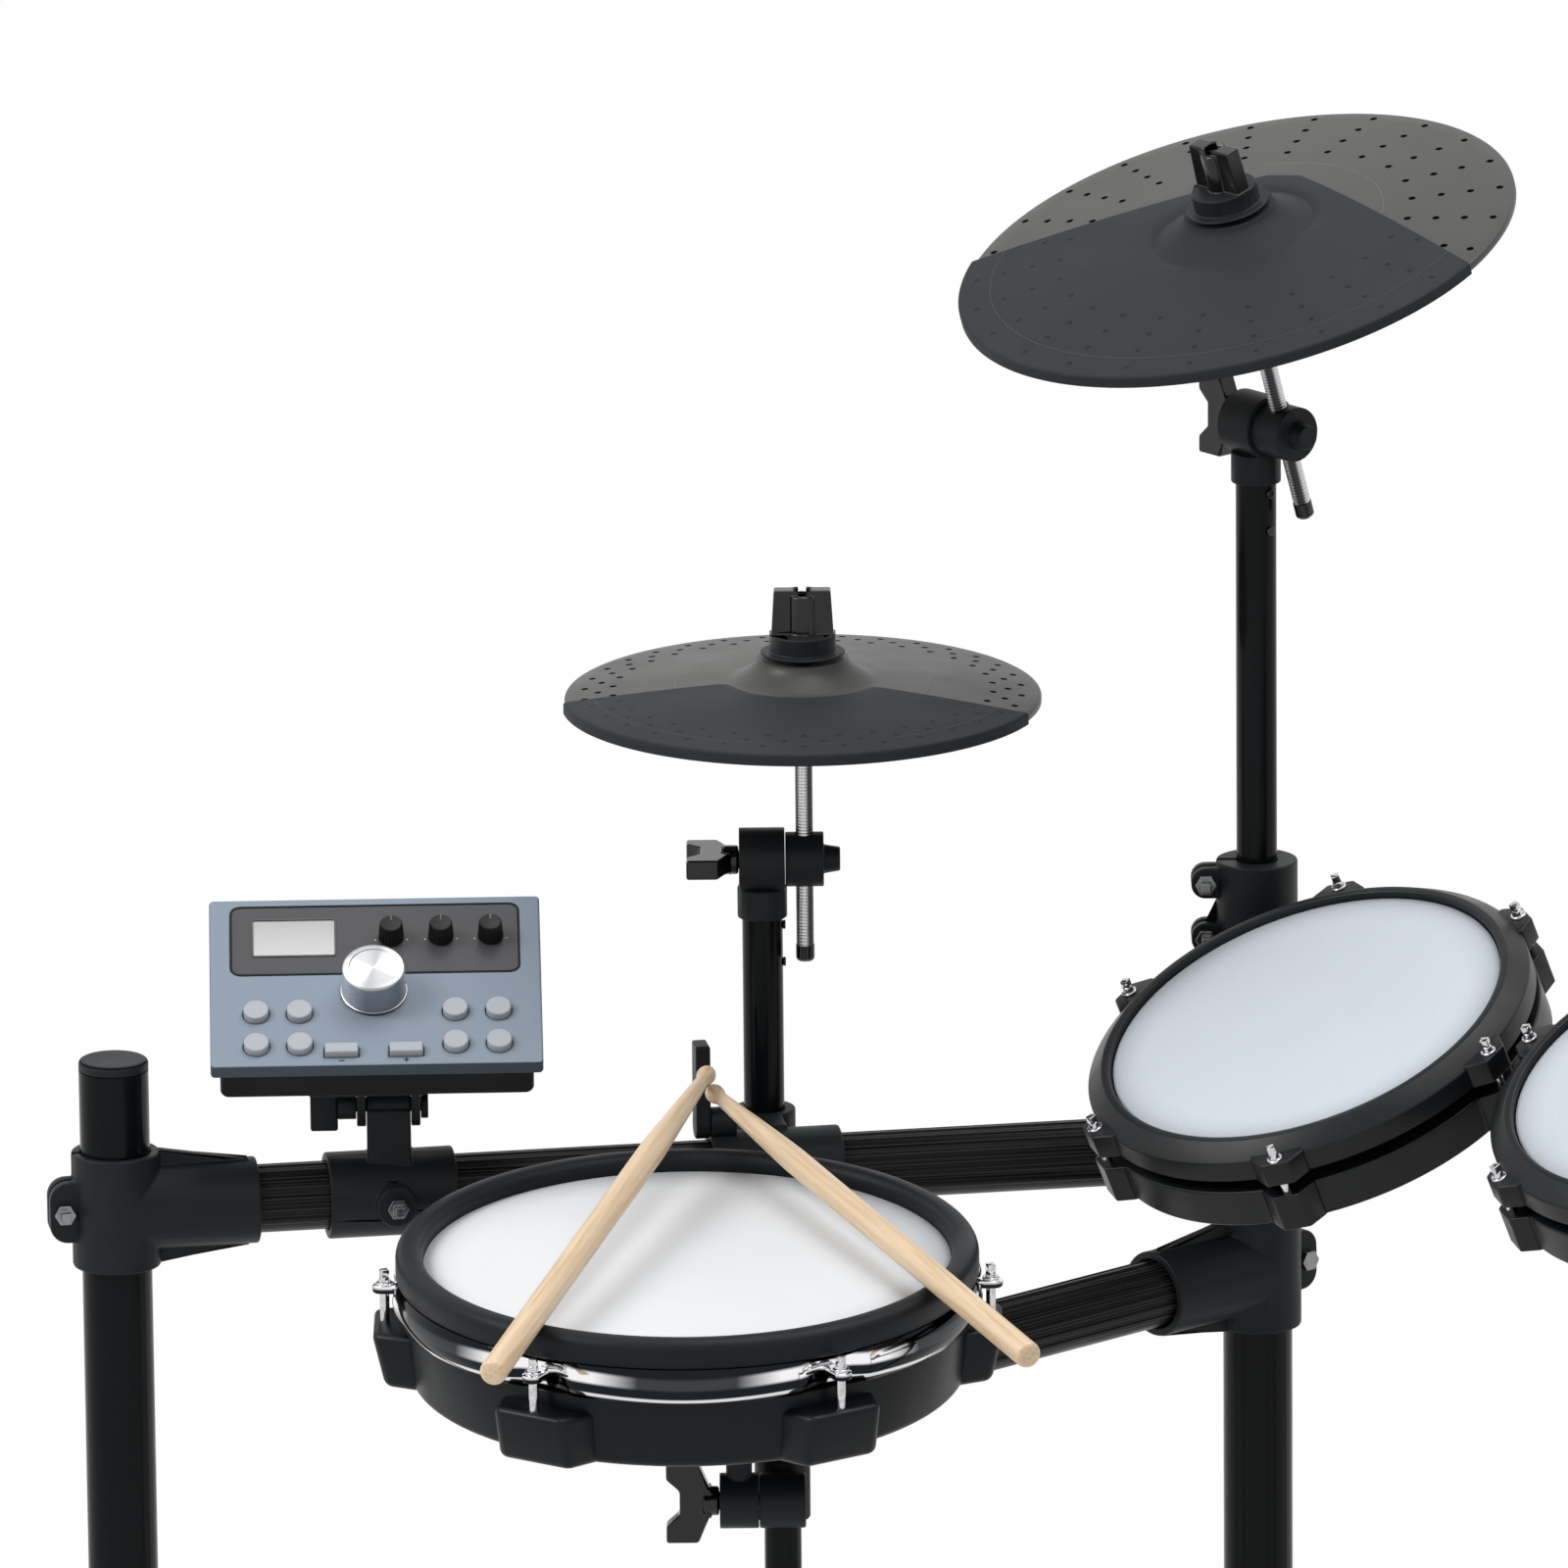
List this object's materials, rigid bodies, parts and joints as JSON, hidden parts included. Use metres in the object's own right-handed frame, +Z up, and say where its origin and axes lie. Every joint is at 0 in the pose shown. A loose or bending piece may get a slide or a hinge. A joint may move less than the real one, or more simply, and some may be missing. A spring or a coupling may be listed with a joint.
{
  "type": "electronic drum kit",
  "caption": "Electronic drum kit on a four-post tube rack, with a tilting sound module, cymbal pads, mesh-head snare and tom pads and a pair of sticks.",
  "frame": {"origin": "on the floor under the middle of the kit's bounding box", "axes": "+X to the drummer's right, +Y away from the drummer, +Z up"},
  "size_m": [1.5188, 0.7371, 1.2165],
  "materials": {
    "black_metal": "satin black powder coat",
    "black_plastic": "moulded black",
    "black_rubber": "matte black",
    "chrome": "polished",
    "mesh_white": "fine woven mesh",
    "module_blue": "satin blue-grey",
    "module_black": "fine-grained",
    "panel_grey": "satin",
    "screen_glass": "clear window over a reflective display",
    "board_green": "solder mask",
    "silver_metal": "spun",
    "button_grey": "satin",
    "maple": "clear lacquer"
  },
  "bodies": {
    "rack": {"rack_posts": "black_metal", "rack_bars": "black_metal", "snare_bar": "black_metal", "post_t_clamps": "black_plastic", "mast_sleeves": "black_plastic", "bar_clamps": "black_plastic", "clamp_bolts": "chrome", "post_caps": "black_plastic", "post_feet": "black_rubber"},
    "hihat_clamp_lever": {"hihat_clamp_lever": "black_plastic"},
    "hihat_mast": {"hihat_mast": "black_metal"},
    "hihat_wing_bolt": {"hihat_wing_bolt": "black_metal"},
    "hihat_tilter": {"hihat_tilter": "chrome"},
    "hihat_cymbal": {"hihat_cymbal": "black_plastic"},
    "hihat_wing_nut": {"hihat_wing_nut": "black_plastic"},
    "crash_mast": {"crash_mast": "black_metal"},
    "crash_wing_bolt": {"crash_wing_bolt": "black_metal"},
    "crash_tilter": {"crash_tilter": "chrome"},
    "crash_cymbal": {"crash_cymbal": "black_plastic"},
    "crash_wing_nut": {"crash_wing_nut": "black_plastic"},
    "ride_mast": {"ride_mast": "black_metal"},
    "ride_wing_bolt": {"ride_wing_bolt": "black_metal"},
    "ride_tilter": {"ride_tilter": "chrome"},
    "ride_cymbal": {"ride_cymbal": "black_plastic"},
    "ride_wing_nut": {"ride_wing_nut": "black_plastic"},
    "snare_wing_bolt": {"snare_wing_bolt": "black_metal"},
    "snare": {"snare_shell": "black_plastic", "snare_hoop": "chrome", "snare_rim": "black_rubber", "snare_head": "mesh_white", "snare_mount": "black_plastic"},
    "tom_1": {"tom_1_frame": "black_plastic", "tom_1_head": "mesh_white"},
    "tom_2": {"tom_2_frame": "black_plastic", "tom_2_head": "mesh_white"},
    "tom_3": {"tom_3_frame": "black_plastic", "tom_3_head": "mesh_white"},
    "module": {"module_upper_case": "module_blue", "module_lower_case": "module_black", "module_panel": "panel_grey", "module_screen": "screen_glass", "module_board": "board_green", "module_bracket": "black_plastic"},
    "module_lever": {"module_lever": "black_plastic"},
    "dial": {"dial": "silver_metal"},
    "volume_knob_1": {"volume_knob_1": "black_plastic"},
    "volume_knob_2": {"volume_knob_2": "black_plastic"},
    "volume_knob_3": {"volume_knob_3": "black_plastic"},
    "round_button_1": {"round_button_1": "button_grey"},
    "round_button_2": {"round_button_2": "button_grey"},
    "round_button_3": {"round_button_3": "button_grey"},
    "round_button_4": {"round_button_4": "button_grey"},
    "round_button_5": {"round_button_5": "button_grey"},
    "round_button_6": {"round_button_6": "button_grey"},
    "round_button_7": {"round_button_7": "button_grey"},
    "round_button_8": {"round_button_8": "button_grey"},
    "bar_button_1": {"bar_button_1": "button_grey"},
    "bar_button_2": {"bar_button_2": "button_grey"},
    "drumstick_left": {"drumstick_left": "maple"},
    "drumstick_right": {"drumstick_right": "maple"}
  },
  "joints": [
    {"name": "hihat_lever_turn", "type": "hinge", "parent": "rack", "child": "hihat_clamp_lever", "pos_m": [-0.46963, 0.06857, 0.669], "axis": [0.7071, 0.7071, 0], "range_deg": [-75, 15]},
    {"name": "hihat_mast_height", "type": "slide", "parent": "rack", "child": "hihat_mast", "axis": [0, 0, 1], "range_m": [-0.05, 0.015]},
    {"name": "hihat_wing_bolt_turn", "type": "hinge", "parent": "hihat_mast", "child": "hihat_wing_bolt", "pos_m": [-0.49508, 0.09403, 0.807], "axis": [0.809, 0.5878, 0], "continuous": true},
    {"name": "hihat_tilt", "type": "hinge", "parent": "hihat_mast", "child": "hihat_tilter", "pos_m": [-0.49508, 0.09403, 0.807], "axis": [0.809, 0.5878, 0], "range_deg": [-20, 20]},
    {"name": "hihat_rock", "type": "hinge", "parent": "hihat_tilter", "child": "hihat_cymbal", "pos_m": [-0.47623, 0.10772, 0.916], "axis": [0.809, 0.5878, 0], "range_deg": [-3, 3], "stiffness_Nm_per_rad": 6},
    {"name": "hihat_wing_nut_turn", "type": "hinge", "parent": "hihat_tilter", "child": "hihat_wing_nut", "pos_m": [-0.47623, 0.10772, 0.916], "axis": [0, 0, 1], "continuous": true},
    {"name": "crash_mast_height", "type": "slide", "parent": "rack", "child": "crash_mast", "axis": [0, 0, 1], "range_m": [-0.04, 0.03]},
    {"name": "crash_wing_bolt_turn", "type": "hinge", "parent": "crash_mast", "child": "crash_wing_bolt", "pos_m": [-0.28, 0.2582, 1.048], "axis": [0.9703, -0.2419, 0], "continuous": true},
    {"name": "crash_tilt", "type": "hinge", "parent": "crash_mast", "child": "crash_tilter", "pos_m": [-0.28, 0.2582, 1.048], "axis": [0.9703, -0.2419, 0], "range_deg": [-30, 20]},
    {"name": "crash_rock", "type": "hinge", "parent": "crash_tilter", "child": "crash_cymbal", "pos_m": [-0.26666, 0.2154, 1.17328], "axis": [0.9703, -0.2419, 0], "range_deg": [-3, 3], "stiffness_Nm_per_rad": 6},
    {"name": "crash_wing_nut_turn", "type": "hinge", "parent": "crash_tilter", "child": "crash_wing_nut", "pos_m": [-0.26666, 0.2154, 1.17328], "axis": [-0.0707, -0.2837, 0.9563], "continuous": true},
    {"name": "ride_mast_height", "type": "slide", "parent": "rack", "child": "ride_mast", "axis": [0, 0, 1], "range_m": [-0.04, 0.03]},
    {"name": "ride_wing_bolt_turn", "type": "hinge", "parent": "ride_mast", "child": "ride_wing_bolt", "pos_m": [0.28, 0.2582, 1.048], "axis": [-0.9703, -0.2419, 0], "continuous": true},
    {"name": "ride_tilt", "type": "hinge", "parent": "ride_mast", "child": "ride_tilter", "pos_m": [0.28, 0.2582, 1.048], "axis": [-0.9703, -0.2419, 0], "range_deg": [-20, 30]},
    {"name": "ride_rock", "type": "hinge", "parent": "ride_tilter", "child": "ride_cymbal", "pos_m": [0.26666, 0.2154, 1.17328], "axis": [-0.9703, -0.2419, 0], "range_deg": [-3, 3], "stiffness_Nm_per_rad": 6},
    {"name": "ride_wing_nut_turn", "type": "hinge", "parent": "ride_tilter", "child": "ride_wing_nut", "pos_m": [0.26666, 0.2154, 1.17328], "axis": [0.0707, -0.2837, 0.9563], "continuous": true},
    {"name": "snare_wing_bolt_turn", "type": "hinge", "parent": "rack", "child": "snare_wing_bolt", "pos_m": [-0.34619, -0.09705, 0.517], "axis": [0.809, 0.5878, 0], "continuous": true},
    {"name": "snare_tilt", "type": "hinge", "parent": "rack", "child": "snare", "pos_m": [-0.34619, -0.09705, 0.517], "axis": [0.809, 0.5878, 0], "range_deg": [0, 5]},
    {"name": "tom_1_tilt", "type": "hinge", "parent": "rack", "child": "tom_1", "pos_m": [-0.15425, 0.16024, 0.6961], "axis": [0.9659, -0.2588, 0], "range_deg": [-8, 10]},
    {"name": "tom_2_tilt", "type": "hinge", "parent": "rack", "child": "tom_2", "pos_m": [0.11865, 0.14121, 0.7187], "axis": [0.9659, -0.2588, 0], "range_deg": [-8, 10]},
    {"name": "tom_3_tilt", "type": "hinge", "parent": "rack", "child": "tom_3", "pos_m": [0.43138, -0.0366, 0.6281], "axis": [0.7071, -0.7071, 0], "range_deg": [-8, 10]},
    {"name": "module_tilt", "type": "hinge", "parent": "rack", "child": "module", "pos_m": [-0.61999, -0.08179, 0.69], "axis": [0.7934, 0.6088, 0], "range_deg": [-20, 15]},
    {"name": "module_lever_turn", "type": "hinge", "parent": "rack", "child": "module_lever", "pos_m": [-0.61999, -0.08179, 0.69], "axis": [0.7934, 0.6088, 0], "range_deg": [-45, 45]},
    {"name": "dial_turn", "type": "hinge", "parent": "module", "child": "dial", "pos_m": [-0.61737, -0.09671, 0.75741], "axis": [0.3135, -0.4086, 0.8572], "continuous": true},
    {"name": "volume_knob_1_turn", "type": "hinge", "parent": "module", "child": "volume_knob_1", "pos_m": [-0.63031, -0.06342, 0.77801], "axis": [0.3135, -0.4086, 0.8572], "range_deg": [-140, 140]},
    {"name": "volume_knob_2_turn", "type": "hinge", "parent": "module", "child": "volume_knob_2", "pos_m": [-0.60889, -0.04699, 0.77801], "axis": [0.3135, -0.4086, 0.8572], "range_deg": [-140, 140]},
    {"name": "volume_knob_3_turn", "type": "hinge", "parent": "module", "child": "volume_knob_3", "pos_m": [-0.58746, -0.03055, 0.77801], "axis": [0.3135, -0.4086, 0.8572], "range_deg": [-140, 140]},
    {"name": "round_button_1_press", "type": "slide", "parent": "module", "child": "round_button_1", "axis": [-0.3135, 0.4086, -0.8572], "range_m": [0, 0.0012], "stiffness_N_per_m": 400},
    {"name": "round_button_2_press", "type": "slide", "parent": "module", "child": "round_button_2", "axis": [-0.3135, 0.4086, -0.8572], "range_m": [0, 0.0012], "stiffness_N_per_m": 400},
    {"name": "round_button_3_press", "type": "slide", "parent": "module", "child": "round_button_3", "axis": [-0.3135, 0.4086, -0.8572], "range_m": [0, 0.0012], "stiffness_N_per_m": 400},
    {"name": "round_button_4_press", "type": "slide", "parent": "module", "child": "round_button_4", "axis": [-0.3135, 0.4086, -0.8572], "range_m": [0, 0.0012], "stiffness_N_per_m": 400},
    {"name": "round_button_5_press", "type": "slide", "parent": "module", "child": "round_button_5", "axis": [-0.3135, 0.4086, -0.8572], "range_m": [0, 0.0012], "stiffness_N_per_m": 400},
    {"name": "round_button_6_press", "type": "slide", "parent": "module", "child": "round_button_6", "axis": [-0.3135, 0.4086, -0.8572], "range_m": [0, 0.0012], "stiffness_N_per_m": 400},
    {"name": "round_button_7_press", "type": "slide", "parent": "module", "child": "round_button_7", "axis": [-0.3135, 0.4086, -0.8572], "range_m": [0, 0.0012], "stiffness_N_per_m": 400},
    {"name": "round_button_8_press", "type": "slide", "parent": "module", "child": "round_button_8", "axis": [-0.3135, 0.4086, -0.8572], "range_m": [0, 0.0012], "stiffness_N_per_m": 400},
    {"name": "bar_button_1_press", "type": "slide", "parent": "module", "child": "bar_button_1", "axis": [-0.3135, 0.4086, -0.8572], "range_m": [0, 0.0012], "stiffness_N_per_m": 400},
    {"name": "bar_button_2_press", "type": "slide", "parent": "module", "child": "bar_button_2", "axis": [-0.3135, 0.4086, -0.8572], "range_m": [0, 0.0012], "stiffness_N_per_m": 400},
    {"name": "drumstick_left_draw", "type": "slide", "parent": "rack", "child": "drumstick_left", "axis": [0.3318, -0.9346, -0.1279], "range_m": [0, 0.15]},
    {"name": "drumstick_right_draw", "type": "slide", "parent": "rack", "child": "drumstick_right", "axis": [0.8665, -0.4895, -0.0984], "range_m": [0, 0.15]}
  ]
}
